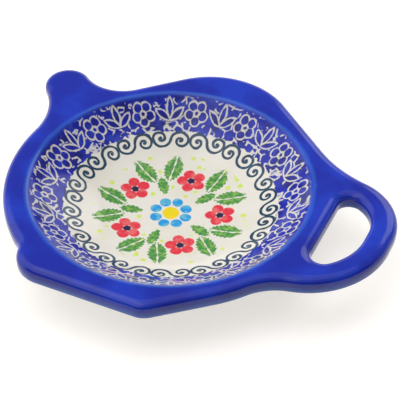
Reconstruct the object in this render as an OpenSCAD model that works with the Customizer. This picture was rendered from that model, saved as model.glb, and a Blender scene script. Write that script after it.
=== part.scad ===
// Tea bag rest of glazed stoneware: a shallow round well in a flat rim that is cut
// to the outline of a teapot, with a spout nub, a domed lid, a flat base and a
// handle with a finger hole. The whole rest is one fired piece of clay, so the
// nodes are its named regions, which meet face to face: the regions of the rim
// across seams that they share, and all of them round the wall of the well.
// Sizes are in millimetres. The rest stands on its foot ring at z = 0, with +X to
// the handle, +Y to the lid and +Z up.

/* [Well] */
// Radius of the well where its lip runs out level into the rim
well_r = 45.4; // [40:0.1:46]
// Radius of the nearly flat floor of the well
floor_r = 18.5; // [14:0.5:22]
// Rise of the floor from its middle to its edge
floor_dish = 1; // [0.6:0.1:1.5]
// Slope of the well's wall just under the lip, in degrees
wall_slope = 42; // [38:1:46]
// Radius that rounds the lip over
lip_round = 2.5; // [1.5:0.1:3.5]

/* [Clay] */
// Thickness of the floor over its flat underside
floor_t = 3.6; // [3:0.1:5]
// Thickness of the well's wall
wall_t = 4.6; // [4:0.1:5.5]
// Thickness of the rim, spout and handle
rim_t = 6.4; // [6:0.1:7.2]
// Radius that rounds the outer edges
edge_round = 2.5; // [1.5:0.1:2.8]
// Least level land between the lip and the rounded outer edge
rim_land = 1.7; // [0.2:0.1:3]

/* [Foot] */
// Outer radius of the foot ring
foot_r = 28; // [26:0.5:32]
// Width of the foot ring
foot_w = 4; // [3:0.5:5]
// Height of the foot ring under the floor
foot_h = 1.5; // [1:0.1:2.5]
// Chamfer on both edges of the foot ring's face
foot_chamfer = 0.5; // [0.3:0.1:0.9]

/* [Body] */
// Width of the rim on the spout side, from the well's lip
belly_w = 6.6; // [5.2:0.1:8.6]
// Width of the rim at the front edge of the base, from the well's lip
base_w = 6.4; // [5.2:0.1:8.6]
// Reach of the base towards the spout
base_left = 29.9; // [29:0.1:31.5]
// Reach of the base towards the handle
base_right = 20.4; // [17:0.1:22]
// Radius of the base's corner on the spout side
base_left_round = 10; // [8:0.1:12]
// Radius of the base's corner on the handle side
base_right_round = 7.9; // [5:0.1:9]
// Radius in the notch between the base and the belly
notch_round = 6.5; // [4:0.1:7]

/* [Lid] */
// Radius of the lid's dome
lid_r = 27.2; // [25.5:0.1:29]
// Width of the rim at the top of the lid, from the well's lip
lid_w = 12.2; // [10.6:0.1:14.6]
// Place of the lid's middle, towards the spout from the well's centre
lid_shift = 0.1; // [0:0.1:2]
// Direction square to the flank of the lid on the spout side, in degrees
lid_left_angle = 133.6; // [132:0.1:136]
// Direction square to the flank of the lid on the handle side, in degrees
lid_right_angle = 50.7; // [48.5:0.1:52]

/* [Spout] */
// Radius of the spout's round tip
spout_r = 7.6; // [7:0.1:8.5]
// Distance from the well's lip to the middle of the spout's tip
spout_out = 16.3; // [15.1:0.1:17.6]
// Direction of the spout from the well's centre, in degrees
spout_angle = 149.1; // [147.5:0.1:150]
// Radius in the bend between the spout and the lid
spout_top_round = 13.4; // [12:0.1:14.5]
// Radius in the bend between the spout and the belly
spout_under_round = 26; // [22:0.1:30]

/* [Handle] */
// Distance from the well's lip to the handle's outer side
handle_out = 25.8; // [24.6:0.1:27.6]
// Radius of the handle's long lower bend
handle_low_r = 27.2; // [25:0.1:28]
// Height of the middle of the lower bend over the well's centre line
handle_low_y = 2.8; // [1.5:0.1:3.5]
// Radius of the handle's upper bend
handle_top_r = 20.4; // [19:0.1:21.5]
// Height of the middle of the upper bend over the well's centre line
handle_top_y = 6.5; // [5:0.1:7]
// Radius in the bend between the handle and the belly
handle_root_round = 18.1; // [15:0.1:21]
// Radius in the long bend between the handle and the lid
handle_lid_round = 41.5; // [36:0.1:46]
// Width of the handle's band
handle_band = 8.2; // [7.6:0.1:8.6]
// Width of the rim between the well's lip and the straight side of the finger hole
hole_w = 5.1; // [4.4:0.1:5.8]
// Radius of the finger hole's two corners at its straight side
hole_corner_r = 3.8; // [3:0.1:4.5]

/* [Hidden] */

// Overrun of a cutter past the clay that it cuts
overrun = 1;
// Largest turn between two neighbouring points of the outline, in degrees
bend_step = 6;
// Longest piece of a straight run of the outline
run_step = 4;
// Clearance of the rim's facets round the well's wall
well_clearance = 0.03;
// Steps in a quarter of the rounded edge
edge_steps = 4;
// Steps along the well's wall and round its lip
wall_steps = 9;
lip_steps = 5;
floor_steps = 3;
round_fn = 72;

// Heights, from the foot up
floor_under_z = foot_h;
floor_z = floor_under_z + floor_t;

// The well's section is three arcs that run into each other: the dished floor
// about a point high over it, the wall, and the lip rounded over
floor_arc_r = (floor_r * floor_r + floor_dish * floor_dish) / (2 * floor_dish);
floor_slope = asin(floor_r / floor_arc_r);
lip_start_r = well_r - lip_round * sin(wall_slope);
wall_arc_r = (lip_start_r - floor_r) / (sin(wall_slope) - sin(floor_slope));
wall_arc_x = floor_r - wall_arc_r * sin(floor_slope);
wall_arc_z = floor_z + floor_dish + wall_arc_r * cos(floor_slope);
lip_start_z = wall_arc_z - wall_arc_r * cos(wall_slope);
top_z = lip_start_z + lip_round * (1 - cos(wall_slope));
under_z = top_z - rim_t;

// The wall's outer side is one arc from the edge of the flat underside up to the
// underside of the rim. It leaves the flat underside level, and the wall has its
// thickness where it is steepest.
outer_arc_r = (wall_arc_r + wall_t - (floor_r - wall_arc_x) * sin(wall_slope)
               - (wall_arc_z - floor_under_z) * cos(wall_slope)) / (1 - cos(wall_slope));
outer_arc_z = floor_under_z + outer_arc_r;
outer_high_slope = min(acos((outer_arc_z - under_z) / outer_arc_r),
                       asin((well_r - floor_r) / outer_arc_r));

foot_seam_z = foot_h + floor_t / 2;

// A bend is [x, y, radius]: a rounded corner has a radius over zero and a hollow
// one has a radius under zero
function bend(place, radius) = [place.x, place.y, radius];
function spot(distance, angle) = [distance * cos(angle), distance * sin(angle)];
function heading(a, b) = atan2(b.y - a.y, b.x - a.x);
function gap(a, b) = norm([b.x - a.x, b.y - a.y]);

// Direction of the straight run that leaves bend a and meets bend b
function run_angle(a, b) = heading(a, b) - asin(max(-1, min(1, (b.z - a.z) / gap(a, b))));

// Hollow bend of radius r that touches the round bends a and b, on the right of
// the way from a to b
function hollow_between(a, b, r) =
    let (side_a = a.z + r, side_b = b.z + r, base = gap(a, b),
         corner = acos((side_a * side_a + base * base - side_b * side_b) / (2 * side_a * base)),
         place = [a.x, a.y] + spot(side_a, heading(a, b) - corner))
    bend(place, -r);

// Hollow bend of radius r that touches the round bend b and the flank of bend a
// that is square to the direction angle; way is 1 where the flank lies after a
// and -1 where it lies before it
function hollow_on_flank(a, angle, b, r, way) =
    let (start = [a.x, a.y] + spot(a.z + r, angle),
         along = spot(way, angle + 90),
         to_b = [b.x, b.y] - start,
         ahead = to_b * along,
         aside = norm(to_b - ahead * along),
         back = sqrt((b.z + r) * (b.z + r) - aside * aside))
    bend(start + (ahead - back) * along, -r);

function turn_of(before, here, after) =
    let (first = run_angle(before, here), last = run_angle(here, after))
    here.z > 0 ? ((last - first) % 360 + 360) % 360 : -(((first - last) % 360 + 360) % 360);

// A station is [x, y, angle]: a point of an outline, and the direction square to
// the outline there. Bend i of a closed path gives the stations round its turn and
// along the straight run after it.
function bend_stations(bends, i) =
    let (before = bends[(i + len(bends) - 1) % len(bends)],
         here = bends[i],
         after = bends[(i + 1) % len(bends)],
         first = run_angle(before, here) - 90,
         turn = turn_of(before, here, after),
         steps = max(2, ceil(abs(turn) / bend_step)),
         square = run_angle(here, after) - 90,
         run_start = [here.x, here.y] + spot(here.z, square),
         run = [after.x, after.y] + spot(after.z, square) - run_start,
         pieces = floor(norm(run) / run_step))
    concat([for (k = [0 : steps - 1]) let (angle = first + turn * (k + 0.5) / steps)
                station([here.x, here.y] + spot(here.z, angle), angle)],
           pieces < 1 ? [] : [for (k = [0 : pieces - 1])
                station(run_start + run * (k + 0.5) / pieces, square)]);
function station(place, angle) = [place.x, place.y, angle];
function path_stations(bends) = [for (i = [0 : len(bends) - 1]) each bend_stations(bends, i)];

// Index of the first station of bend i, and of the one in the middle of its turn
function first_of(bends, i) = i == 0 ? 0 : first_of(bends, i - 1) + len(bend_stations(bends, i - 1));
function middle_of(bends, i) =
    first_of(bends, i)
    + floor(abs(turn_of(bends[i - 1], bends[i], bends[(i + 1) % len(bends)])) / bend_step / 2);
function stretch(path, from, to) = [for (k = [from : to]) path[k % len(path)]];
function reversed(list) = [for (i = [len(list) - 1 : -1 : 0]) list[i]];

// The stations at even places along a list of stations
function resampled(list, count) = [for (k = [0 : count - 1])
    let (u = (len(list) - 1) * k / (count - 1), i = min(floor(u), len(list) - 2))
    list[i] + (list[i + 1] - list[i]) * (u - i)];

// The teapot's outline, turning left round the well. Its reaches from the well's
// centre follow the well's lip.
base_y = well_r + base_w;
lid_top = well_r + lid_w;
handle_reach = well_r + handle_out;
hole_x = well_r + hole_w;
belly = bend([0, 0], well_r + belly_w);
belly_near_handle = bend([0, 0], well_r + rim_land + edge_round);
base_left_bend = bend([base_left_round - base_left, base_left_round - base_y], base_left_round);
base_right_bend = bend([base_right - base_right_round, base_right_round - base_y], base_right_round);
handle_low_bend = bend([handle_reach - handle_low_r, handle_low_y], handle_low_r);
handle_top_bend = bend([handle_reach - handle_top_r, handle_top_y], handle_top_r);
lid_bend = bend([-lid_shift, lid_top - lid_r], lid_r);
spout_bend = bend(spot(well_r + spout_out, spout_angle), spout_r);

pot_bends = [
    base_right_bend,
    belly_near_handle,
    hollow_between(belly_near_handle, handle_low_bend, handle_root_round),
    handle_low_bend,
    handle_top_bend,
    hollow_on_flank(lid_bend, lid_right_angle, handle_top_bend, handle_lid_round, -1),
    lid_bend,
    hollow_on_flank(lid_bend, lid_left_angle, spout_bend, spout_top_round, 1),
    spout_bend,
    hollow_between(spout_bend, belly, spout_under_round),
    belly,
    hollow_between(belly, base_left_bend, notch_round),
    base_left_bend
];

// The finger hole: straight beside the belly, a band's width inside the handle's
// two bends, and rounded where the straight side meets them; way is 1 over the
// middle of the bend and -1 under it
function hole_corner(b, way) =
    let (x = hole_x + hole_corner_r, side = b.z - hole_corner_r)
    bend([x, b.y + way * sqrt(side * side - (x - b.x) * (x - b.x))], hole_corner_r);
hole_low_bend = bend([handle_low_bend.x, handle_low_bend.y], handle_low_r - handle_band);
hole_top_bend = bend([handle_top_bend.x, handle_top_bend.y], handle_top_r - handle_band);
hole_bends = [
    hole_corner(hole_low_bend, -1),
    hole_low_bend,
    hole_top_bend,
    hole_corner(hole_top_bend, 1)
];

// Line across the handle's roots, past which the handle stands off the belly
handle_seam_x = hole_x + hole_corner_r;

// Extent of the outline, whose middle is over the origin
left_x = spout_bend.x - spout_r;
mid_x = (handle_reach + left_x) / 2;
mid_y = (lid_top - base_y) / 2;

// Rows of the rounded edge, as [inset, z] from the underside to the top
edge_rows = concat(
    [for (k = [0 : edge_steps]) let (a = 90 * k / edge_steps)
        [edge_round * (1 - sin(a)), under_z + edge_round * (1 - cos(a))]],
    [for (k = [0 : edge_steps]) let (a = 90 * k / edge_steps)
        [edge_round * (1 - cos(a)), top_z - edge_round * (1 - sin(a))]]);

// Columns of points up the clay's edge: round the outline, round the finger hole,
// where the edge rounds the other way, and square along the well's wall
function outline_column(s) = [for (row = edge_rows)
    let (p = [s.x, s.y] - spot(row.x, s.z)) [p.x, p.y, row.y]];
function hole_column(s) = [for (row = edge_rows)
    let (p = [s.x, s.y] + spot(row.x, s.z)) [p.x, p.y, row.y]];
function well_column(angle) = [for (row = edge_rows)
    let (p = spot(well_r + well_clearance, angle)) [p.x, p.y, row.y]];
function polar(s) = (atan2(s.y, s.x) + 360) % 360;
function swing(list) = let (whole = polar(list[len(list) - 1]) - polar(list[0])) (whole + 360) % 360;
function well_columns(list) = [for (k = [0 : len(list) - 1])
    well_column(polar(list[0]) + swing(list) * k / (len(list) - 1))];

// The outline and the finger hole as stations, and the stations where the named
// regions meet
pot = path_stations(pot_bends);
hole = path_stations(hole_bends);
base_handle_seam = middle_of(pot_bends, 1);
handle_low_seam = min([for (i = [0 : len(pot) - 1]) if (pot[i].x > handle_seam_x) i]);
handle_top_seam = max([for (i = [0 : len(pot) - 1]) if (pot[i].x > handle_seam_x) i]);
lid_handle_seam = first_of(pot_bends, 6);
lid_spout_seam = middle_of(pot_bends, 7);
spout_belly_seam = middle_of(pot_bends, 9);
belly_base_seam = middle_of(pot_bends, 11);
hole_low_seam = first_of(hole_bends, 1) - 1;
hole_top_seam = first_of(hole_bends, 3);

// A bar of clay that follows its outer columns on the right and its inner columns
// on the left; turned says which way the faces of its far end are split
module bar(outer, inner, turned = false) {
    rows = len(edge_rows);
    ring = 2 * rows;
    last = (len(outer) - 1) * ring;
    polyhedron(
        points = [for (i = [0 : len(outer) - 1]) each concat(outer[i], reversed(inner[i]))],
        faces = concat(
            [for (i = [0 : len(outer) - 2]) for (m = [0 : ring - 1])
                let (here = i * ring, next = here + ring, up = (m + 1) % ring)
                each [[here + m, here + up, next + up], [here + m, next + up, next + m]]],
            [for (m = [0 : rows - 2]) let (low = ring - 1 - m, high = low - 1)
                each [[m, low, high], [m, high, m + 1]]],
            [for (m = [0 : rows - 2])
                let (out = last + m, low = last + ring - 1 - m, high = low - 1)
                each turned ? [[out, out + 1, low], [out + 1, high, low]]
                            : [[out, out + 1, high], [out, high, low]]]));
}

// The rim between the well and the outline, over a range of the outline's stations
module rim(from, to) {
    list = stretch(pot, from, to);
    bar([for (s = list) outline_column(s)], well_columns(list));
}

module centred() {
    translate([-mid_x, -mid_y, 0]) children();
}

// Points on the well's section, as [radius, z]
function floor_arc() = [for (k = [0 : floor_steps])
    let (a = floor_slope * k / floor_steps)
    [floor_arc_r * sin(a), floor_z + floor_arc_r * (1 - cos(a))]];
function wall_arc(x, z, r, low, high) = [for (k = [0 : wall_steps])
    let (a = low + (high - low) * k / wall_steps) [x + r * sin(a), z - r * cos(a)]];
function lip_arc() = [for (k = [1 : lip_steps])
    let (a = wall_slope * (1 - k / lip_steps))
    [well_r - lip_round * sin(a), top_z - lip_round * (1 - cos(a))]];

module well_floor() {
    color("floralwhite") centred() rotate_extrude($fn = round_fn)
        polygon(concat([[0, floor_under_z], [0, floor_z]],
                       [for (p = floor_arc()) if (p.x > 0) p],
                       [[floor_r, floor_under_z]]));
}

module well_wall() {
    color("royalblue") centred() difference() {
        rotate_extrude($fn = round_fn)
            polygon(concat(wall_arc(wall_arc_x, wall_arc_z, wall_arc_r, floor_slope, wall_slope),
                           lip_arc(),
                           [[well_r, under_z]],
                           reversed(wall_arc(floor_r, outer_arc_z, outer_arc_r, 0, outer_high_slope))));
        foot_space(overrun);
    }
}

// The foot ring runs up into the clay over it, as far as a level seam
module foot_space(down) {
    rotate_extrude($fn = round_fn)
        polygon([[foot_r - foot_w, -down], [foot_r, -down], [foot_r, foot_seam_z],
                 [foot_r - foot_w, foot_seam_z]]);
}

module foot_ring() {
    color("tan") centred() rotate_extrude($fn = round_fn)
        polygon([[foot_r - foot_w + foot_chamfer, 0], [foot_r - foot_chamfer, 0],
                 [foot_r, foot_chamfer], [foot_r, foot_seam_z],
                 [foot_r - foot_w, foot_seam_z], [foot_r - foot_w, foot_chamfer]]);
}

module belly_spout_side() {
    color("mediumblue") centred() rim(spout_belly_seam, belly_base_seam);
}

// The rim on the handle side runs up beside the finger hole between the handle's roots
module belly_handle_side() {
    low = stretch(pot, base_handle_seam, handle_low_seam);
    beside = reversed(stretch(hole, hole_top_seam, len(hole) + hole_low_seam));
    high = stretch(pot, handle_top_seam, lid_handle_seam);
    color("mediumblue") centred() bar(
        concat([for (s = low) outline_column(s)],
               [for (s = beside) hole_column(s)],
               [for (s = high) outline_column(s)]),
        concat(well_columns(low), well_columns(beside), well_columns(high)));
}

module lid_dome() {
    color("blue") centred() rim(lid_handle_seam, lid_spout_seam);
}

module pot_base() {
    color("darkblue") centred() rim(belly_base_seam, len(pot) + base_handle_seam);
}

module spout() {
    color("navy") centred() rim(lid_spout_seam, spout_belly_seam);
}

module handle_loop() {
    outer = stretch(pot, handle_low_seam, handle_top_seam);
    inner = resampled(stretch(hole, hole_low_seam, hole_top_seam), len(outer));
    color("midnightblue") centred() bar(
        [for (s = outer) outline_column(s)],
        [for (s = inner) hole_column(s)],
        turned = true);
}

well_floor();
well_wall();
foot_ring();
belly_spout_side();
belly_handle_side();
lid_dome();
pot_base();
spout();
handle_loop();
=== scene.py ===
"""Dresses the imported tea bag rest: glazed rim, painted well, clay underside and a small studio.

The rest is one piece of stoneware. The cobalt rim with its spout, lid, base and handle, the painted
well and the bare foot ring are separate meshes here, which follow the named regions of the model.
"""

from __future__ import annotations

import logging
import math
from dataclasses import dataclass, field
from enum import Enum

import bmesh
import bpy
from mathutils import Euler, Matrix, Vector

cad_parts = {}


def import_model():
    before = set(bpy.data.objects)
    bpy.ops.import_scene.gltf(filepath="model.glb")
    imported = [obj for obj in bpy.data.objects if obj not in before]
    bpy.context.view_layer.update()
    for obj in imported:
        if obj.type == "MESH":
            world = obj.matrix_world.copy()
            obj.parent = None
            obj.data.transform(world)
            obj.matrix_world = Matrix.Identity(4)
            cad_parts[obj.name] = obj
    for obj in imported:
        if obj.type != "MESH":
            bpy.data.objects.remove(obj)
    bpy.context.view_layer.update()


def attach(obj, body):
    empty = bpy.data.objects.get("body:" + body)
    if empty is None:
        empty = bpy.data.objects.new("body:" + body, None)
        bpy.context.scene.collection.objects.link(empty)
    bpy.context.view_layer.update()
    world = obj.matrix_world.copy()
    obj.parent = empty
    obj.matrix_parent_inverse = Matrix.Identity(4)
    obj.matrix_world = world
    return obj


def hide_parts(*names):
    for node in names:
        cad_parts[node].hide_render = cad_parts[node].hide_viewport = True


LOG = logging.getLogger("tea_bag_rest")
MM = 0.001
UP = Vector((0, 0, 1))


# Shader maths


class Number:
    """A number that varies over a surface. Python's operators on it add Math nodes."""

    def __init__(self, tree: "Tree", socket: bpy.types.NodeSocket) -> None:
        """Wraps an output socket of the tree."""
        self.tree = tree
        self.socket = socket

    def math(self, operation: str, *others: "Number | float") -> "Number":
        """Adds a Math node with this number as its first value.

        Args:
            operation: the node's operation.
            others: its second and third values.

        Returns:
            The node's result.
        """
        values = dict(enumerate((self, *others)))
        return self.tree.number("ShaderNodeMath", {"operation": operation}, values)

    def __add__(self, other: "Number | float") -> "Number":
        """Sum."""
        return self.math("ADD", other)

    __radd__ = __add__

    def __mul__(self, other: "Number | float") -> "Number":
        """Product."""
        return self.math("MULTIPLY", other)

    __rmul__ = __mul__

    def __sub__(self, other: "Number | float") -> "Number":
        """Difference."""
        return self.math("SUBTRACT", other)

    def __rsub__(self, other: float) -> "Number":
        """Difference from a plain number."""
        return (self * -1.0) + other

    def __truediv__(self, other: "Number | float") -> "Number":
        """Quotient."""
        return self.math("DIVIDE", other)

    def __neg__(self) -> "Number":
        """Negative."""
        return self * -1.0

    def abs(self) -> "Number":
        """Size without its sign."""
        return self.math("ABSOLUTE")

    def fraction(self) -> "Number":
        """Part after the point."""
        return self.math("FRACT")

    def floor(self) -> "Number":
        """Whole number below."""
        return self.math("FLOOR")

    def sin(self) -> "Number":
        """Sine of an angle in radians."""
        return self.math("SINE")

    def cos(self) -> "Number":
        """Cosine of an angle in radians."""
        return self.math("COSINE")

    def least(self, other: "Number | float") -> "Number":
        """The smaller of two."""
        return self.math("MINIMUM", other)

    def most(self, other: "Number | float") -> "Number":
        """The larger of two."""
        return self.math("MAXIMUM", other)

    def blend_least(self, other: "Number | float", reach: float) -> "Number":
        """The smaller of two, rounded over where they are within reach."""
        return self.math("SMOOTH_MIN", other, reach)

    def step(self, low: float, high: float) -> "Number":
        """Smooth step from 0 at low to 1 at high, or from 1 to 0 where high is the lower."""
        settings = {"interpolation_type": "SMOOTHSTEP", "clamp": True}
        if high > low:
            values = {"Value": self, "From Min": low, "From Max": high}
            return self.tree.number("ShaderNodeMapRange", settings, values)
        values = {"Value": self, "From Min": high, "From Max": low, "To Min": 1.0, "To Max": 0.0}
        return self.tree.number("ShaderNodeMapRange", settings, values)

    def inside(self, edge: float = 0.0, soft: float = 0.12) -> "Number":
        """Mask that is 1 where this distance is under edge, with a soft border."""
        return self.step(edge + soft, edge - soft)


@dataclass(frozen=True)
class Place:
    """A place on the surface, as two numbers in millimetres."""

    x: Number
    y: Number

    def moved(self, x: float, y: float) -> "Place":
        """The place seen from a point at x, y."""
        return Place(self.x - x, self.y - y)

    def length(self) -> Number:
        """Distance from the origin."""
        return (self.x * self.x + self.y * self.y).math("SQRT")

    def angle(self) -> Number:
        """Direction from the origin, in radians."""
        return self.y.math("ARCTAN2", self.x)

    def turned(self, degrees: float) -> "Place":
        """The place with the pattern turned left by some degrees."""
        c, s = math.cos(math.radians(degrees)), math.sin(math.radians(degrees))
        return Place(self.x * c + self.y * s, self.y * c - self.x * s)

    def folded(self, count: int, first: float = 0.0) -> "Place":
        """One of count equal wedges, whose middle line is the x axis.

        Args:
            count: number of wedges in a full turn.
            first: direction of the middle of a wedge, in degrees.

        Returns:
            The place in its own wedge.
        """
        wedge = 2 * math.pi / count
        turn = (self.angle() - math.radians(first)) / wedge + 0.5
        local = (turn.fraction() - 0.5) * wedge
        radius = self.length()
        return Place(radius * local.cos(), radius * local.sin())


class Tree:
    """The node tree of a material or a world, with one method that adds any node."""

    def __init__(self, owner: bpy.types.Material | bpy.types.World) -> None:
        """Starts an empty tree for its owner."""
        self.owner = owner
        owner.use_nodes = True
        self.nodes = owner.node_tree.nodes
        self.links = owner.node_tree.links
        self.nodes.clear()

    @classmethod
    def of_material(cls, name: str) -> "Tree":
        """Starts the tree of a new material."""
        return cls(bpy.data.materials.new(name))

    def add(self, kind: str, settings: dict | None = None, values: dict | None = None) -> bpy.types.Node:
        """Adds a node.

        Args:
            kind: the node's type.
            settings: its properties, set first.
            values: what its sockets get, by name or index: a number, a colour, a socket or a Number.

        Returns:
            The node.
        """
        node = self.nodes.new(kind)
        for key, value in (settings or {}).items():
            setattr(node, key, value)
        for key, value in (values or {}).items():
            socket = node.inputs[key]
            if isinstance(value, Number):
                value = value.socket
            if isinstance(value, bpy.types.NodeSocket):
                self.links.new(value, socket)
            elif isinstance(value, tuple) and len(value) == 3 and socket.type == "RGBA":
                socket.default_value = (*value, 1.0)
            else:
                socket.default_value = value
        return node

    def number(self, kind: str, settings: dict | None = None, values: dict | None = None) -> Number:
        """Adds a node and gives its first output as a number."""
        return Number(self, self.add(kind, settings, values).outputs[0])

    def millimetres(self, centre: tuple[float, float]) -> tuple[Place, Number, bpy.types.NodeSocket]:
        """Object coordinates in millimetres about a centre.

        Args:
            centre: the place of the origin, in millimetres.

        Returns:
            The place in plan, the height, and the whole vector.
        """
        coordinates = self.add("ShaderNodeTexCoord").outputs["Object"]
        scale = 1.0 / MM
        values = {"Vector": coordinates, "Location": (-centre[0], -centre[1], 0.0), "Scale": (scale,) * 3}
        vector = self.add("ShaderNodeMapping", None, values).outputs[0]
        parts = self.add("ShaderNodeSeparateXYZ", None, {0: vector}).outputs
        return Place(Number(self, parts[0]), Number(self, parts[1])), Number(self, parts[2]), vector

    def noise(self, vector: bpy.types.NodeSocket, grain: float, detail: float = 2.0) -> Number:
        """Noise from 0 to 1 with a grain in millimetres."""
        values = {"Vector": vector, "Scale": 1.0 / grain, "Detail": detail}
        return self.number("ShaderNodeTexNoise", None, values)

    def cells(self, vector: bpy.types.NodeSocket, grain: float, feature: str = "F1") -> Number:
        """Distance to the middle of a random cell, or to its border, in millimetres.

        Args:
            vector: the place in millimetres.
            grain: size of the cells.
            feature: what is measured to.

        Returns:
            The distance.
        """
        values = {"Vector": vector, "Scale": 1.0 / grain}
        return self.number("ShaderNodeTexVoronoi", {"feature": feature}, values) * grain

    def wavered(self, vector: bpy.types.NodeSocket, grain: float, amount: float) -> bpy.types.NodeSocket:
        """The vector shifted by a smooth noise, as a hand would stray.

        Args:
            vector: the place in millimetres.
            grain: size of the noise's grain.
            amount: farthest shift, in millimetres.

        Returns:
            The shifted vector.
        """
        values = {"Vector": vector, "Scale": 1.0 / grain, "Detail": 1.0}
        cloud = self.add("ShaderNodeTexNoise", None, values).outputs["Color"]
        centred = self.add("ShaderNodeVectorMath", {"operation": "SUBTRACT"}, {0: cloud, 1: (0.5,) * 3})
        settings = {"operation": "MULTIPLY_ADD"}
        values = {0: centred.outputs[0], 1: (2 * amount, 2 * amount, 0.0), 2: vector}
        return self.add("ShaderNodeVectorMath", settings, values).outputs[0]

    def mix(self, share: Number | float, first: object, second: object) -> bpy.types.NodeSocket:
        """Colour that goes from first to second as share goes from 0 to 1."""
        settings = {"data_type": "RGBA", "blend_type": "MIX", "clamp_factor": True}
        node = self.add("ShaderNodeMix", settings, {0: share, 6: first, 7: second})
        return node.outputs[2]

    def bump(self, height: Number, depth: float) -> bpy.types.NodeSocket:
        """Normal of a surface raised by height times a depth in millimetres."""
        values = {"Height": height, "Distance": depth * MM, "Strength": 1.0}
        return self.add("ShaderNodeBump", None, values).outputs[0]

    def finish(self, values: dict) -> bpy.types.Material:
        """Ends the tree in a Principled shader with these sockets set."""
        shader = self.add("ShaderNodeBsdfPrincipled", None, values)
        self.add("ShaderNodeOutputMaterial", None, {"Surface": shader.outputs[0]})
        return self.owner


# Sizes of the rest, in millimetres


@dataclass(frozen=True)
class Well:
    """The round well's section, as three arcs that run into each other."""

    radius: float = 45.4
    floor_radius: float = 18.5
    floor_dish: float = 1.0
    slope: float = 42.0
    lip_round: float = 2.5
    floor_thickness: float = 3.6
    wall_thickness: float = 4.6
    rim_thickness: float = 6.4
    foot_height: float = 1.5

    @property
    def floor_z(self) -> float:
        """Height of the floor's middle."""
        return self.foot_height + self.floor_thickness

    @property
    def floor_arc(self) -> float:
        """Radius of the floor's dish."""
        return (self.floor_radius**2 + self.floor_dish**2) / (2 * self.floor_dish)

    @property
    def floor_slope(self) -> float:
        """Slope at the floor's edge, in radians."""
        return math.asin(self.floor_radius / self.floor_arc)

    @property
    def wall_slope(self) -> float:
        """Slope under the lip, in radians."""
        return math.radians(self.slope)

    @property
    def lip_start(self) -> float:
        """Radius at which the lip begins."""
        return self.radius - self.lip_round * math.sin(self.wall_slope)

    @property
    def wall_arc(self) -> float:
        """Radius of the wall's arc."""
        rise = math.sin(self.wall_slope) - math.sin(self.floor_slope)
        return (self.lip_start - self.floor_radius) / rise

    @property
    def wall_centre(self) -> tuple[float, float]:
        """Radius and height of the middle of the wall's arc."""
        x = self.floor_radius - self.wall_arc * math.sin(self.floor_slope)
        z = self.floor_z + self.floor_dish + self.wall_arc * math.cos(self.floor_slope)
        return x, z

    @property
    def top_z(self) -> float:
        """Height of the rim's top."""
        low = self.wall_centre[1] - self.wall_arc * math.cos(self.wall_slope)
        return low + self.lip_round * (1 - math.cos(self.wall_slope))

    @property
    def under_z(self) -> float:
        """Height of the rim's underside."""
        return self.top_z - self.rim_thickness

    @property
    def outer_arc(self) -> float:
        """Radius of the underside's arc, which leaves the flat underside level."""
        x, z = self.wall_centre
        reach = self.wall_arc + self.wall_thickness - (self.floor_radius - x) * math.sin(self.wall_slope)
        rise = (z - self.foot_height) * math.cos(self.wall_slope)
        return (reach - rise) / (1 - math.cos(self.wall_slope))


@dataclass(frozen=True)
class Bend:
    """A round stretch of the outline: its middle and its radius, which is under 0 in a hollow."""

    x: float
    y: float
    r: float

    def spot(self, angle: float) -> Vector:
        """Point of the bend in a direction in radians."""
        return Vector((self.x + self.r * math.cos(angle), self.y + self.r * math.sin(angle), 0))

    def run_to(self, other: "Bend") -> float:
        """Direction of the straight run from this bend to the next, in radians."""
        dx, dy = other.x - self.x, other.y - self.y
        lean = (other.r - self.r) / math.hypot(dx, dy)
        return math.atan2(dy, dx) - math.asin(max(-1.0, min(1.0, lean)))

    def hollow_to(self, other: "Bend", radius: float) -> "Bend":
        """Hollow bend of a radius that touches this bend and the next."""
        dx, dy = other.x - self.x, other.y - self.y
        side, far, base = self.r + radius, other.r + radius, math.hypot(dx, dy)
        corner = math.acos((side**2 + base**2 - far**2) / (2 * side * base))
        angle = math.atan2(dy, dx) - corner
        return Bend(self.x + side * math.cos(angle), self.y + side * math.sin(angle), -radius)

    def hollow_on_flank(self, degrees: float, other: "Bend", radius: float, way: int) -> "Bend":
        """Hollow bend that touches another bend and the flank of this one.

        Args:
            degrees: direction square to the flank.
            other: the bend at the hollow's other end.
            radius: the hollow's radius.
            way: 1 where the flank comes after this bend, and -1 where it comes before.

        Returns:
            The hollow bend.
        """
        angle = math.radians(degrees)
        side = self.r + radius
        start = Vector((self.x + side * math.cos(angle), self.y + side * math.sin(angle)))
        along = Vector((-math.sin(angle), math.cos(angle))) * way
        to_other = Vector((other.x, other.y)) - start
        ahead = to_other.dot(along)
        aside = (to_other - ahead * along).length
        place = start + (ahead - math.sqrt((other.r + radius) ** 2 - aside**2)) * along
        return Bend(place.x, place.y, -radius)


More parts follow.
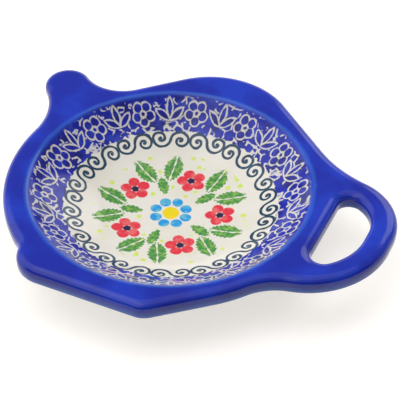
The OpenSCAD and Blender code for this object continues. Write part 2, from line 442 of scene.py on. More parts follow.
@dataclass(frozen=True)
class Outline:
    """The teapot's outline and its finger hole, about the well's centre."""

    lip: float
    belly_width: float = 6.6
    base_width: float = 6.4
    base_left: float = 29.9
    base_right: float = 20.4
    base_left_round: float = 10.0
    base_right_round: float = 7.9
    notch_round: float = 6.5
    belly_near_handle: float = 4.2
    lid_round: float = 27.2
    lid_width: float = 12.2
    lid_shift: float = 0.1
    lid_left_angle: float = 133.6
    lid_right_angle: float = 50.7
    spout_round: float = 7.6
    spout_out: float = 16.3
    spout_angle: float = 149.1
    spout_top_round: float = 13.4
    spout_under_round: float = 26.0
    handle_out: float = 25.8
    handle_low_round: float = 27.2
    handle_low_y: float = 2.8
    handle_top_round: float = 20.4
    handle_top_y: float = 6.5
    handle_root_round: float = 18.1
    handle_lid_round: float = 41.5
    handle_band: float = 8.2
    hole_width: float = 5.1
    hole_corner: float = 3.8

    @property
    def handle_reach(self) -> float:
        """Distance of the handle's outer side."""
        return self.lip + self.handle_out

    @property
    def spout(self) -> Bend:
        """The spout's round tip."""
        angle, reach = math.radians(self.spout_angle), self.lip + self.spout_out
        return Bend(reach * math.cos(angle), reach * math.sin(angle), self.spout_round)

    @property
    def handle(self) -> tuple[Bend, Bend]:
        """The handle's long lower bend and its upper bend."""
        low = Bend(self.handle_reach - self.handle_low_round, self.handle_low_y, self.handle_low_round)
        top = Bend(self.handle_reach - self.handle_top_round, self.handle_top_y, self.handle_top_round)
        return low, top

    @property
    def middle(self) -> tuple[float, float]:
        """Middle of the outline's extent, seen from the well's centre."""
        left = self.spout.x - self.spout_round
        return (self.handle_reach + left) / 2, (self.lid_width - self.base_width) / 2

    def pot(self) -> list[Bend]:
        """The bends of the outer edge, turning left."""
        base_y = self.lip + self.base_width
        right, left = self.base_right_round, self.base_left_round
        base_right = Bend(self.base_right - right, right - base_y, right)
        base_left = Bend(left - self.base_left, left - base_y, left)
        belly = Bend(0, 0, self.lip + self.belly_width)
        near_handle = Bend(0, 0, self.lip + self.belly_near_handle)
        low, top = self.handle
        lid = Bend(-self.lid_shift, self.lip + self.lid_width - self.lid_round, self.lid_round)
        return [
            base_right,
            near_handle,
            near_handle.hollow_to(low, self.handle_root_round),
            low,
            top,
            lid.hollow_on_flank(self.lid_right_angle, top, self.handle_lid_round, -1),
            lid,
            lid.hollow_on_flank(self.lid_left_angle, self.spout, self.spout_top_round, 1),
            self.spout,
            self.spout.hollow_to(belly, self.spout_under_round),
            belly,
            belly.hollow_to(base_left, self.notch_round),
            base_left,
        ]

    def hole(self) -> list[Bend]:
        """The bends of the finger hole, turning left."""
        low, top = (Bend(b.x, b.y, b.r - self.handle_band) for b in self.handle)
        return [self.hole_bend(low, -1), low, top, self.hole_bend(top, 1)]

    def hole_bend(self, inner: Bend, way: int) -> Bend:
        """Corner of the finger hole inside one of its bends, over its middle or under it."""
        x = self.lip + self.hole_width + self.hole_corner
        side = inner.r - self.hole_corner
        return Bend(x, inner.y + way * math.sqrt(side**2 - (x - inner.x) ** 2), self.hole_corner)


# Building meshes


def new_object(name: str, mesh: bmesh.types.BMesh, materials: list[bpy.types.Material]) -> bpy.types.Object:
    """Makes an object of a finished bmesh, with its faces outwards and shaded smooth.

    Args:
        name: the piece's name.
        mesh: the shape, in metres in the row frame; it is freed.
        materials: the piece's materials, by index.

    Returns:
        The object.
    """
    bmesh.ops.remove_doubles(mesh, verts=mesh.verts, dist=1e-7)
    bmesh.ops.dissolve_degenerate(mesh, edges=mesh.edges, dist=1e-8)
    bmesh.ops.recalc_face_normals(mesh, faces=mesh.faces)
    for face in mesh.faces:
        face.smooth = True
    data = bpy.data.meshes.new(name)
    mesh.to_mesh(data)
    mesh.free()
    for material in materials:
        data.materials.append(material)
    piece = bpy.data.objects.new(name, data)
    bpy.context.scene.collection.objects.link(piece)
    return piece


class Profile:
    """A section drawn as a chain of vertices in the XZ plane and spun about an upright axis."""

    def __init__(self, x: float, z: float) -> None:
        """Starts the chain at a radius and a height in millimetres."""
        self.mesh = bmesh.new()
        self.tip = self.mesh.verts.new((x * MM, 0, z * MM))

    def arc(self, centre: tuple[float, float], degrees: float, steps: int) -> None:
        """Draws an arc from the tip.

        Args:
            centre: the arc's middle, as a radius and a height.
            degrees: how far it turns, from +X towards +Z.
            steps: number of edges.
        """
        spun = bmesh.ops.spin(
            self.mesh,
            geom=[self.tip],
            cent=(centre[0] * MM, 0, centre[1] * MM),
            axis=(0, -1, 0),
            angle=math.radians(degrees),
            steps=steps,
            use_duplicate=False,
        )
        self.tip = next(item for item in spun["geom_last"] if isinstance(item, bmesh.types.BMVert))

    def line(self, x: float, z: float) -> None:
        """Draws a straight line from the tip to a radius and a height."""
        self.tip = bmesh.ops.extrude_vert_indiv(self.mesh, verts=[self.tip])["verts"][0]
        self.tip.co = (x * MM, 0, z * MM)

    def spun(self, centre: tuple[float, float], steps: int) -> bmesh.types.BMesh:
        """Spins the chain a full turn.

        Args:
            centre: where the axis stands, in millimetres.
            steps: number of faces round the turn.

        Returns:
            The closed surface.
        """
        bmesh.ops.spin(
            self.mesh,
            geom=self.mesh.verts[:] + self.mesh.edges[:],
            cent=(0, 0, 0),
            axis=UP,
            angle=2 * math.pi,
            steps=steps,
            use_merge=True,
            use_duplicate=False,
        )
        bmesh.ops.remove_doubles(self.mesh, verts=self.mesh.verts, dist=1e-7)
        bmesh.ops.translate(self.mesh, verts=self.mesh.verts, vec=(centre[0] * MM, centre[1] * MM, 0))
        return self.mesh


# Finishes


@dataclass(frozen=True)
class Gloss:
    """A clear fired glaze over what is painted under it."""

    roughness: float = 0.09
    ior: float = 1.5
    ripple_grain: float = 9.0
    ripple_depth: float = 0.05
    skin_grain: float = 1.3
    skin_depth: float = 0.0035

    def normal(self, tree: Tree, vector: bpy.types.NodeSocket) -> bpy.types.NodeSocket:
        """Normal of a glaze that ran into long low waves, with a fine skin."""
        waves = tree.noise(vector, self.ripple_grain, 1.0) * self.ripple_depth
        skin = tree.noise(vector, self.skin_grain, 2.0) * self.skin_depth
        return tree.bump(waves + skin, 1.0)


@dataclass(frozen=True)
class CobaltGlaze:
    """The rim's cobalt glaze: deep where it lies thick, lighter where it thins over an edge; the lighter ring
    at the lip is thinner glaze and partly a painted highlight.
    """

    deep: tuple[float, float, float] = (0.007, 0.020, 0.35)
    body: tuple[float, float, float] = (0.009, 0.038, 0.48)
    thin: tuple[float, float, float] = (0.032, 0.15, 0.62)
    clay: tuple[float, float, float] = (0.46, 0.36, 0.25)
    cream: tuple[float, float, float] = (0.60, 0.55, 0.45)
    gloss: Gloss = field(default_factory=Gloss)

    def colour(self, tree: Tree, plan: Place, vector: bpy.types.NodeSocket, well: Well) -> bpy.types.NodeSocket:
        """Colour of the glaze on the level top, which the well's lip shares, with a lighter ring at the lip
        that is thinner glaze and partly a painted highlight.
        """
        drift = tree.noise(vector, 14.0, 3.0)
        colour = tree.mix(drift.step(0.38, 0.66), self.deep, self.body)
        # Lighter ring along the lip: thinner glaze over the edge, and partly a painted highlight.
        stray = (tree.noise(vector, 5.0, 2.0) - 0.5) * 0.8
        off_lip = (plan.length() - (well.radius - 0.75) + stray).abs()
        return tree.mix(off_lip.step(1.2, 0.1) * 0.45, colour, self.thin)

    def material(self, well: Well, centre: tuple[float, float]) -> bpy.types.Material:
        """The rim's material, with bare clay where the glaze ends underneath.

        Args:
            well: the well's sizes.
            centre: the well's centre in the row frame.

        Returns:
            The material.
        """
        tree = Tree.of_material("cobalt_glaze")
        plan, height, vector = tree.millimetres(centre)
        colour = self.colour(tree, plan, vector, well)
        stray = (tree.noise(vector, 4.0, 3.0) - 0.5) * 1.1
        rise = height - well.under_z + stray
        colour = tree.mix(rise.step(4.0, 1.9) * 0.9, colour, self.thin)
        specks = tree.noise(vector, 0.7, 3.0).step(0.6, 0.72) * 0.35
        under = tree.mix(specks, self.cream, self.clay)
        colour = tree.mix(rise.step(1.55, 1.2), colour, under)
        values = {
            "Base Color": colour,
            "Roughness": self.gloss.roughness,
            "IOR": self.gloss.ior,
            "Normal": self.gloss.normal(tree, vector),
        }
        return tree.finish(values)


@dataclass(frozen=True)
class ClearGlazedClay:
    """Stoneware under a clear glaze, cream with tan specks."""

    cream: tuple[float, float, float] = (0.60, 0.55, 0.45)
    clay: tuple[float, float, float] = (0.46, 0.36, 0.25)
    gloss: Gloss = field(default_factory=Gloss)

    def material(self) -> bpy.types.Material:
        """The material of the bowl's underside."""
        tree = Tree.of_material("clear_glazed_clay")
        _, _, vector = tree.millimetres((0, 0))
        clouds = tree.noise(vector, 12.0, 3.0).step(0.3, 0.8) * 0.3
        colour = tree.mix(clouds, self.cream, self.clay)
        specks = tree.noise(vector, 0.7, 3.0).step(0.6, 0.72) * 0.4
        colour = tree.mix(specks, colour, self.clay)
        normal = self.gloss.normal(tree, vector)
        return tree.finish({"Base Color": colour, "Roughness": 0.16, "IOR": 1.5, "Normal": normal})


@dataclass(frozen=True)
class BareClay:
    """Fired clay without glaze, where the rest stands."""

    light: tuple[float, float, float] = (0.50, 0.38, 0.26)
    dark: tuple[float, float, float] = (0.30, 0.20, 0.12)

    def material(self) -> bpy.types.Material:
        """The material of the foot ring."""
        tree = Tree.of_material("bare_clay")
        _, _, vector = tree.millimetres((0, 0))
        colour = tree.mix(tree.noise(vector, 6.0, 4.0).step(0.3, 0.75), self.light, self.dark)
        grain = tree.noise(vector, 0.35, 4.0)
        colour = tree.mix(grain.step(0.55, 0.75) * 0.5, colour, self.dark)
        normal = tree.bump(grain, 0.06)
        return tree.finish({"Base Color": colour, "Roughness": 0.82, "Normal": normal})


# Parts of the rest


@dataclass
class GlazedRim:
    """The flat rim with the spout, the lid, the base and the looped handle."""

    well: Well
    outline: Outline
    centre: tuple[float, float]
    edge_width: float = 4.0
    edge_height: float = 2.6
    edge_power: float = 2.4
    edge_steps: int = 14
    turn_step: float = 2.0
    run_step: float = 1.5
    well_steps: int = 256

    NODES = ("belly_spout_side", "belly_handle_side", "lid_dome", "pot_base", "spout", "handle_loop")

    def draw_path(self, mesh: bmesh.types.BMesh, bends: list[Bend]) -> list[bmesh.types.BMEdge]:
        """Draws a closed path of bends and straight runs, by spins and extrusions of its tip.

        Args:
            mesh: the mesh that gets it, in millimetres.
            bends: the bends, turning left.

        Returns:
            The path's edges.
        """
        old = set(mesh.edges)
        start = None
        for i, here in enumerate(bends):
            before, after = bends[i - 1], bends[(i + 1) % len(bends)]
            first = before.run_to(here) - math.pi / 2
            last = here.run_to(after) - math.pi / 2
            turn = (last - first) % (2 * math.pi) if here.r > 0 else -((first - last) % (2 * math.pi))
            if start is None:
                start = tip = mesh.verts.new(here.spot(first))
            steps = max(2, math.ceil(math.degrees(abs(turn)) / self.turn_step))
            settings = {"cent": (here.x, here.y, 0), "axis": UP, "angle": turn, "steps": steps}
            spun = bmesh.ops.spin(mesh, geom=[tip], use_duplicate=False, **settings)
            tip = next(item for item in spun["geom_last"] if isinstance(item, bmesh.types.BMVert))
            goal = after.spot(last)
            run = goal - tip.co
            pieces = math.ceil(run.length / self.run_step)
            for _ in range(pieces if run.length > 1e-3 else 0):
                tip = bmesh.ops.extrude_vert_indiv(mesh, verts=[tip])["verts"][0]
                tip.co += run / pieces
        bmesh.ops.weld_verts(mesh, targetmap={tip: start})
        return [edge for edge in mesh.edges if edge not in old]

    def edge_rows(self) -> list[tuple[float, float]]:
        """Steps of the rounded edge from the outline inwards, as widths and rises."""
        rows, last = [], (0.0, 0.0)
        for k in range(1, self.edge_steps + 1):
            angle = math.pi / 2 * k / self.edge_steps
            width = self.edge_width * (1 - math.cos(angle) ** (2 / self.edge_power))
            rise = self.edge_height * math.sin(angle) ** (2 / self.edge_power)
            rows.append((width - last[0], rise - last[1]))
            last = (width, rise)
        return rows

    def build(self) -> bmesh.types.BMesh:
        """Models the rim.

        Returns:
            The closed shape, in metres in the row frame.
        """
        mesh = bmesh.new()
        edges = self.draw_path(mesh, self.outline.pot()) + self.draw_path(mesh, self.outline.hole())
        ring = bmesh.ops.create_circle(mesh, radius=self.well.radius, segments=self.well_steps)["verts"]
        well_edges = list({edge for vert in ring for edge in vert.link_edges})
        bmesh.ops.triangle_fill(mesh, use_beauty=True, edges=edges + well_edges, normal=UP)
        disc = bmesh.ops.contextual_create(mesh, geom=well_edges)["faces"]
        bmesh.ops.recalc_face_normals(mesh, faces=mesh.faces)
        if disc[0].normal.z < 0:
            bmesh.ops.reverse_faces(mesh, faces=mesh.faces)
        plate = mesh.faces[:]
        for width, rise in self.edge_rows():
            bmesh.ops.inset_region(
                mesh, faces=plate, thickness=width, use_even_offset=True, use_boundary=True
            )
            verts = list({vert for face in plate for vert in face.verts})
            bmesh.ops.translate(mesh, verts=verts, vec=(0, 0, rise))
        bmesh.ops.delete(mesh, geom=disc, context="FACES_ONLY")
        self.close(mesh)
        place = Matrix.Translation((*self.centre, (self.well.top_z + self.well.under_z) / 2))
        bmesh.ops.transform(mesh, matrix=Matrix.Scale(MM, 4) @ place, verts=mesh.verts)
        return mesh

    def close(self, mesh: bmesh.types.BMesh) -> None:
        """Drops the side to the middle height, mirrors it and closes the wall round the well.

        Args:
            mesh: the rounded top, in millimetres over its outer row; the middle height becomes 0.
        """
        side = self.well.rim_thickness / 2 - self.edge_height
        outer = [edge for edge in mesh.edges if edge.is_boundary and edge.verts[0].co.z < 1e-4]
        bmesh.ops.translate(mesh, verts=mesh.verts, vec=(0, 0, side))
        grown = bmesh.ops.extrude_edge_only(mesh, edges=outer)["geom"]
        verts = [item for item in grown if isinstance(item, bmesh.types.BMVert)]
        bmesh.ops.translate(mesh, verts=verts, vec=(0, 0, -side))
        geom = mesh.verts[:] + mesh.edges[:] + mesh.faces[:]
        bmesh.ops.mirror(mesh, geom=geom, matrix=Matrix.Identity(4), merge_dist=1e-4, axis="Z")
        rings = [edge for edge in mesh.edges if edge.is_boundary]
        bmesh.ops.bridge_loops(mesh, edges=rings)
        for edge in rings:
            edge.smooth = False

    def make(self, finish: bpy.types.Material) -> bpy.types.Object:
        piece = new_object("glazed_rim", self.build(), [finish])
        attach(piece, "root")
        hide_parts(*self.NODES)
        return piece


@dataclass
class PaintedWell:
    """The round well: painted inside, clear glazed underneath."""

    well: Well
    centre: tuple[float, float]
    floor_steps: int = 20
    wall_steps: int = 40
    lip_steps: int = 10
    round_steps: int = 256

    def build(self) -> bmesh.types.BMesh:
        """Models the well, whose underside gets the second material."""
        well = self.well
        profile = Profile(0, well.floor_z)
        profile.arc((0, well.floor_z + well.floor_arc), math.degrees(well.floor_slope), self.floor_steps)
        swing = math.degrees(well.wall_slope - well.floor_slope)
        profile.arc(well.wall_centre, swing, self.wall_steps)
        profile.arc((well.radius, well.top_z - well.lip_round), -well.slope, self.lip_steps)
        profile.line(well.radius, well.under_z)
        outer = (well.floor_radius, well.foot_height + well.outer_arc)
        high = math.acos((outer[1] - well.under_z) / well.outer_arc)
        profile.line(outer[0] + well.outer_arc * math.sin(high), well.under_z)
        profile.arc(outer, -math.degrees(high), self.wall_steps)
        profile.line(0, well.foot_height)
        mesh = profile.spun(self.centre, self.round_steps)
        for face in mesh.faces:
            reach = math.hypot(*(face.calc_center_median().xy - Vector(self.centre) * MM))
            inner = self.inner_z(reach / MM) * MM
            face.material_index = 0 if face.calc_center_median().z > inner - 0.5 * MM else 1
        for edge in mesh.edges:
            reaches = [math.hypot(*(vert.co.xy - Vector(self.centre) * MM)) / MM for vert in edge.verts]
            flat = abs(edge.verts[0].co.z - edge.verts[1].co.z) < 1e-7
            edge.smooth = not (flat and min(reaches) > well.radius - 0.01)
        return mesh

    def inner_z(self, radius: float) -> float:
        """Height of the well's inner surface at a radius, in millimetres."""
        well = self.well
        if radius < well.floor_radius:
            return well.floor_z + well.floor_arc - math.sqrt(well.floor_arc**2 - radius**2)
        if radius < well.lip_start:
            x, z = well.wall_centre
            return z - math.sqrt(well.wall_arc**2 - (radius - x) ** 2)
        return well.top_z - well.lip_round + math.sqrt(max(0, well.lip_round**2 - (radius - well.radius) ** 2))

    def make(self, painted: bpy.types.Material, under: bpy.types.Material) -> bpy.types.Object:
        piece = new_object("painted_well", self.build(), [painted, under])
        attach(piece, "root")
        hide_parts("well_floor", "well_wall")
        return piece


@dataclass
class FootRing:
    """The bare ring that the rest stands on."""

    centre: tuple[float, float]
    outer: float = 28.0
    width: float = 4.0
    top: float = 3.3
    edge: float = 0.6
    edge_steps: int = 5
    round_steps: int = 192

    def build(self) -> bmesh.types.BMesh:
        """Models the ring, with its lower edges rounded."""
        inner = self.outer - self.width
        profile = Profile(inner, self.top)
        profile.line(inner, self.edge)
        profile.arc((inner + self.edge, self.edge), 90, self.edge_steps)
        profile.line(self.outer - self.edge, 0)
        profile.arc((self.outer - self.edge, self.edge), 90, self.edge_steps)
        profile.line(self.outer, self.top)
        profile.line(inner, self.top)
        return profile.spun(self.centre, self.round_steps)

    def make(self, finish: bpy.types.Material) -> bpy.types.Object:
        piece = new_object("foot_ring_bare", self.build(), [finish])
        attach(piece, "root")
        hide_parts("foot_ring")
        return piece


# Painting in the well


class Paint(Enum):
    """The colours of the decoration, as linear light."""

    GROUND = (0.76, 0.73, 0.66)
    GROUND_WARM = (0.70, 0.66, 0.56)
    SCROLL = (0.012, 0.040, 0.090)
    SCROLL_THIN = (0.020, 0.085, 0.14)
    BAND = (0.005, 0.012, 0.34)
    BAND_LIGHT = (0.020, 0.045, 0.47)
    BAND_DARK = (0.004, 0.006, 0.16)
    RED = (0.72, 0.035, 0.060)
    RED_PALE = (0.76, 0.14, 0.14)
    LEAF = (0.060, 0.26, 0.060)
    LEAF_LIGHT = (0.27, 0.48, 0.10)
    SKY = (0.015, 0.30, 0.70)
    SKY_PALE = (0.16, 0.50, 0.58)
    YELLOW = (0.82, 0.62, 0.010)
    LIME = (0.60, 0.74, 0.08)
    NAVY = (0.016, 0.018, 0.060)


@dataclass
class Painting:
    """The hand-stamped decoration: a scrolled border, a reserved blue band and a wreath."""

    well: Well
    centre: tuple[float, float]
    cobalt: CobaltGlaze
    gloss: Gloss = field(default_factory=Gloss)
    scroll_radius: float = 30.9
    scroll_units: int = 16
    scroll_seam: float = 104.0
    curl_reach: float = 3.35
    curl_lean: float = 0.45
    curl_pitch: float = 2.0
    curl_end: float = 0.55
    scroll_stroke: float = 0.45

    def material(self) -> bpy.types.Material:
        """The material of the well's inside."""
        tree = Tree.of_material("painted_glaze")
        plan, _, vector = tree.millimetres(self.centre)
        colour = self.ground(tree, vector)
        stray = tree.wavered(vector, 4.5, 0.35)
        drawn = tree.wavered(stray, 1.1, 0.10)
        parts = tree.add("ShaderNodeSeparateXYZ", None, {0: drawn}).outputs
        hand = Place(Number(tree, parts[0]), Number(tree, parts[1]))
        colour = self.band(tree, colour, hand, vector)
        colour = self.scroll(tree, colour, hand, vector)
        colour = self.wreath(tree, colour, hand, vector)
        # The rim's glaze over the lip, with its lighter ring that is thinner glaze and partly a painted
        # highlight.
        glaze = self.cobalt.colour(tree, plan, vector, self.well)
        reach = plan.length() + (tree.noise(vector, 2.0, 2.0) - 0.5) * 0.7
        colour = tree.mix(reach.step(self.well.radius - 2.3, self.well.radius - 1.5), colour, glaze)
        values = {
            "Base Color": colour,
            "Roughness": self.gloss.roughness,
            "IOR": self.gloss.ior,
            "Normal": self.gloss.normal(tree, vector),
        }
        return tree.finish(values)

    def ground(self, tree: Tree, vector: bpy.types.NodeSocket) -> bpy.types.NodeSocket:
        """The warm off-white clay under the clear glaze."""
        clouds = tree.noise(vector, 11.0, 3.0).step(0.35, 0.75) * 0.6
        return tree.mix(clouds, Paint.GROUND.value, Paint.GROUND_WARM.value)

    def stamped(
        self, tree: Tree, vector: bpy.types.NodeSocket, thick: Paint, thin: Paint, grain: float = 1.2
    ) -> bpy.types.NodeSocket:
        """Colour laid on with a sponge: mottled between a thick and a thin tint."""
        cloud = tree.noise(vector, grain, 3.0)
        return tree.mix(cloud.step(0.42, 0.72), thick.value, thin.value)

    def curl(self, place: Place, lean: float) -> Number:
        """Distance to a stroke that winds into one curl of a scroll.

        Args:
            place: the place, seen from the middle of the scroll.
            lean: how far outwards the curl's middle lies.

        Returns:
            The distance from the middle of the stroke.
        """
        reach = self.curl_reach
        across = math.sqrt(reach**2 - lean**2)
        near = place.moved(across, lean)
        radius = near.length()
        start = math.atan2(-lean, -across)
        turn = ((near.angle() - start) / (2 * math.pi)).fraction()
        wind = (reach - radius) / self.curl_pitch - turn
        apart = (wind - (wind + 0.5).floor()).abs() * self.curl_pitch
        past_start = (wind + 0.5).step(0.02, -0.02) * reach
        past_end = radius.step(self.curl_end + 0.05, self.curl_end - 0.05) * reach
        return (apart + past_start + past_end).least(radius - 0.15)

    def scroll(
        self, tree: Tree, colour: bpy.types.NodeSocket, hand: Place, vector: bpy.types.NodeSocket
    ) -> bpy.types.NodeSocket:
        """The running scroll: two mirrored runs of S-shaped strokes that meet at a seam."""
        seam = math.radians(self.scroll_seam)
        angle = ((hand.angle() - seam) / (2 * math.pi) + 0.5).fraction() - 0.5
        cell = angle.abs() * self.scroll_units
        pitch = 2 * math.pi * self.scroll_radius / self.scroll_units
        across = (cell.fraction() - 0.5) * pitch
        place = Place(across, hand.length() - self.scroll_radius)
        other = Place(-place.x, -place.y)
        near = self.curl(place, self.curl_lean).least(self.curl(other, self.curl_lean))
        width = (tree.noise(vector, 2.2, 1.0) - 0.5) * 0.25
        ring = (place.y.abs() - 4.2).step(0.1, -0.1)
        mask = (near + width).inside(self.scroll_stroke, 0.10) * ring
        return tree.mix(mask, colour, self.stamped(tree, vector, Paint.SCROLL, Paint.SCROLL_THIN, 1.6))

    def petals(self, place: Place, count: int, ring: float, size: float, first: float = 0.0) -> Number:
        """Distance to a ring of round petals.

        Args:
            place: the place, seen from the blossom's middle.
            count: number of petals.
            ring: radius of the ring of their middles.
            size: radius of a petal.
            first: direction of one of them, in degrees.

        Returns:
            The distance, which is under 0 inside a petal.
        """
        return place.folded(count, first).moved(ring, 0).length() - size

    def leaf(self, place: Place, half: float, width: float) -> Number:
        """Distance to a pointed leaf along the x axis, as the overlap of two circles.

        Args:
            place: the place, seen from the leaf's middle.
            half: half its length.
            width: half its width.

        Returns:
            The distance, which is under 0 inside.
        """
        radius = (half**2 + width**2) / (2 * width)
        return Place(place.x, place.y.abs() + (radius - width)).length() - radius

    def band(
        self, tree: Tree, colour: bpy.types.NodeSocket, hand: Place, vector: bpy.types.NodeSocket
    ) -> bpy.types.NodeSocket:
        """The blue band up the wall, with blossoms and sprays left out of the blue."""
        blue = self.stamped(tree, vector, Paint.BAND, Paint.BAND_LIGHT, 3.5)
        dark = tree.noise(vector, 5.0, 3.0).step(0.50, 0.62)
        blue = tree.mix(dark * 0.85, blue, Paint.BAND_DARK.value)
        count, ring = 14, 39.3
        blossom = hand.folded(count).moved(ring, 0)
        petals = self.petals(blossom, 5, 2.25, 1.5, 180)
        eye = blossom.length()
        lines = petals.abs().least((eye - 0.95).abs())
        spray = hand.folded(count, 180 / count)
        mirrored = Place(spray.x - ring, spray.y.abs())
        blade = self.leaf(mirrored.moved(-0.6, 2.3).turned(55), 2.9, 1.05)
        top = self.leaf(mirrored.moved(1.2, 0), 2.9, 1.0)
        sprig = blade.least(top)
        lines = lines.least(sprig.abs())
        veins = tree.cells(vector, 3.0, "DISTANCE_TO_EDGE") + (eye - 4.1).step(0.1, -0.1) * 3
        veins = veins + sprig.step(0.5, 0.3) * 3 + tree.noise(vector, 3.2, 1.0).step(0.50, 0.42) * 3
        width = (tree.noise(vector, 1.3, 2.0) - 0.5) * 0.6
        kept = (lines.least(veins) + width).inside(0.25, 0.14)
        ragged = (tree.noise(vector, 1.7, 2.0) - 0.5) * 2.6
        field_mask = (hand.length() + ragged).step(33.5, 33.8)
        return tree.mix(field_mask * (1 - kept * 0.85), colour, blue)

    def wreath(
        self, tree: Tree, colour: bpy.types.NodeSocket, hand: Place, vector: bpy.types.NodeSocket
    ) -> bpy.types.NodeSocket:
        """The wreath on the floor: leaves, red blossoms round a blue one, and dots."""
        wedge = hand.folded(5, 54)
        mirrored = Place(wedge.x, wedge.y.abs())
        blade = mirrored.moved(19.2, 4.5).turned(27)
        teeth = (blade.x * 4.2 + blade.y.abs() * 3.0).sin() * 0.24
        leaves = self.leaf(blade, 5.4, 2.9) + teeth
        vein = (blade.y.abs() + (blade.x * 2.1).sin() * 0.1 - 0.26).step(0.1, -0.1) * 3
        sprig = wedge.moved(12.6, 0)
        leaves = (leaves + vein).least(self.leaf(sprig, 3.8, 1.7) + (sprig.x * 4.2).sin() * 0.18)
        blossom = hand.folded(5, 18).moved(15.6, 0)
        petals = self.petals(blossom, 5, 2.95, 1.85, 36)
        dots = tree.cells(vector, 3.3) + leaves.step(1.0, 0.7) * 3 + petals.step(0.9, 0.7) * 3
        dots = dots + tree.noise(vector, 6.0, 1.0).step(0.44, 0.40) * 3
        ring = (hand.length() - 16.8).abs().step(8.6, 9.0) * 3
        colour = tree.mix((dots + ring).inside(0.95, 0.35) * 0.95, colour, Paint.LIME.value)
        green = self.stamped(tree, vector, Paint.LEAF, Paint.LEAF_LIGHT)
        colour = tree.mix(leaves.inside(0, 0.2), colour, green)
        red = self.stamped(tree, vector, Paint.RED, Paint.RED_PALE, 2.4)
        colour = tree.mix(petals.inside(0, 0.15), colour, red)
        colour = tree.mix((blossom.length() - 1.2).inside(0, 0.15), colour, Paint.NAVY.value)
        sky = self.stamped(tree, vector, Paint.SKY, Paint.SKY_PALE, 2.0)
        daisy = self.petals(hand, 8, 5.1, 1.8)
        colour = tree.mix(daisy.inside(0, 0.15), colour, sky)
        return tree.mix((hand.length() - 2.7).inside(0, 0.15), colour, Paint.YELLOW.value)


# Studio


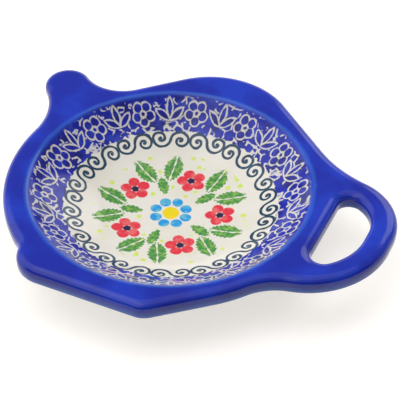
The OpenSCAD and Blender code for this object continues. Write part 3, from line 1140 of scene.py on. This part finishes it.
@dataclass
class Studio:
    """The camera, the pale floor and plain soft light."""

    azimuth: float = 24.6
    elevation: float = 42.81
    distance: float = 0.484
    lens: float = 141.9
    sensor: float = 36.0
    aim: tuple[float, float, float] = (0.00636, -0.00625, 0.01802)
    room: float = 0.30
    floor_half: float = 8.0
    floor_lift: float = 0.65
    boxes: tuple[tuple[str, float, float, float, float, float], ...] = (
        ("soft_left", -0.9, 0.45, 1.1, 1.5, 9.3),
        ("soft_top", 0.3, 0.6, 1.4, 1.4, 9.3),
    )
    glows: tuple[tuple[float, float, float, float, float, float], ...] = (
        (-0.75, -0.1, 0.65, 0.62, 0.78, 0.8),
        (0.0, 0.15, 1.0, 0.90, 0.93, 0.45),
        (0.44, 0.73, 0.52, 0.955, 0.97, 1.5),
    )
    dark_band: tuple[float, float] = (17.0, 43.0)

    def view(self, azimuth: float, elevation: float) -> Euler:
        """Turn of a camera or lamp that looks along an azimuth and down at an elevation."""
        return Euler((math.radians(90 - elevation), 0, math.radians(azimuth)))

    def camera(self) -> None:
        """Sets the camera at the photograph's angle."""
        data = bpy.data.cameras.new("camera")
        data.lens = self.lens
        data.sensor_width = self.sensor
        data.clip_start = 0.01
        camera = bpy.data.objects.new("camera", data)
        bpy.context.scene.collection.objects.link(camera)
        turn = self.view(self.azimuth, self.elevation)
        camera.rotation_euler = turn
        camera.location = Vector(self.aim) + turn.to_matrix() @ Vector((0, 0, self.distance))
        bpy.context.scene.camera = camera

    def floor(self) -> bpy.types.Object:
        """Lays the pale floor, which keeps the object's shadow."""
        tree = Tree.of_material("pale_floor")
        path = tree.add("ShaderNodeLightPath").outputs
        seen = Number(tree, path["Is Camera Ray"]).most(Number(tree, path["Is Glossy Ray"]))
        seen = seen.most(Number(tree, path["Is Transmission Ray"]))
        values = {
            "Base Color": (0.52, 0.50, 0.48),
            "Roughness": 0.9,
            "Emission Color": (1.0, 0.98, 0.955),
            "Emission Strength": seen * self.floor_lift,
        }
        mesh = bmesh.new()
        bmesh.ops.create_grid(mesh, x_segments=1, y_segments=1, size=self.floor_half)
        floor = new_object("floor", mesh, [tree.finish(values)])
        return floor

    def light(self) -> None:
        """Hangs the soft boxes and sets a dim grey room round them."""
        azimuth = math.radians(self.azimuth)
        right = Vector((math.cos(azimuth), math.sin(azimuth), 0))
        away = Vector((-math.sin(azimuth), math.cos(azimuth), 0))
        for name, x, y, z, size, power in self.boxes:
            data = bpy.data.lights.new(name, "AREA")
            data.shape = "SQUARE"
            data.size = size
            data.energy = power
            lamp = bpy.data.objects.new(name, data)
            bpy.context.scene.collection.objects.link(lamp)
            lamp.location = right * x + away * y + UP * z
            lamp.rotation_euler = lamp.location.to_track_quat("Z", "Y").to_euler()
            lamp.visible_glossy = False
        world = bpy.data.worlds.new("room")
        bpy.context.scene.world = world
        tree = Tree(world)
        direction = tree.add("ShaderNodeTexCoord").outputs["Generated"]
        level: Number | None = None
        for x, y, z, edge, core, power in self.glows:
            toward = (right * x + away * y + UP * z).normalized()
            dot = tree.add("ShaderNodeVectorMath", {"operation": "DOT_PRODUCT"}, {0: direction, 1: toward})
            glow = Number(tree, dot.outputs["Value"]).step(edge, core) * power
            level = glow if level is None else level + glow
        height = Number(tree, tree.add("ShaderNodeSeparateXYZ", None, {0: direction}).outputs[2])
        low, high = (math.sin(math.radians(angle)) for angle in self.dark_band)
        side = tree.add("ShaderNodeVectorMath", {"operation": "DOT_PRODUCT"}, {0: direction, 1: away})
        dark = height.step(low - 0.03, low + 0.03) * height.step(high + 0.03, high - 0.03)
        dark = dark * Number(tree, side.outputs["Value"]).step(0.05, -0.15) * 0.9
        level = (level + self.room) * (1 - dark)
        path = tree.add("ShaderNodeLightPath").outputs
        backdrop = Number(tree, path["Is Glossy Ray"]) * height.step(low, low - 0.06)
        seen = Number(tree, path["Is Camera Ray"]).most(Number(tree, path["Is Transmission Ray"]))
        level = level.most(seen.most(backdrop))
        back = tree.add("ShaderNodeBackground", None, {"Color": (1.0, 1.0, 1.0), "Strength": level})
        tree.add("ShaderNodeOutputWorld", None, {"Surface": back.outputs[0]})

    def build(self) -> None:
        """Sets up the whole studio."""
        bpy.context.scene.view_settings.view_transform = "Standard"
        self.camera()
        self.floor()
        self.light()


def main() -> None:
    """Builds every part in order and reports it."""
    logging.basicConfig(level=logging.INFO, format="%(name)s: %(message)s")
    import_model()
    Studio().build()
    well = Well()
    outline = Outline(lip=well.radius)
    middle = outline.middle
    centre = (-middle[0], -middle[1])
    cobalt = CobaltGlaze()
    rim = GlazedRim(well, outline, centre).make(cobalt.material(well, centre))
    under = ClearGlazedClay().material()
    dish = PaintedWell(well, centre).make(Painting(well, centre, cobalt).material(), under)
    foot = FootRing(centre).make(BareClay().material())
    for piece in (rim, dish, foot):
        LOG.info("%s: %d faces", piece.name, len(piece.data.polygons))


if __name__ == "__main__":
    main()
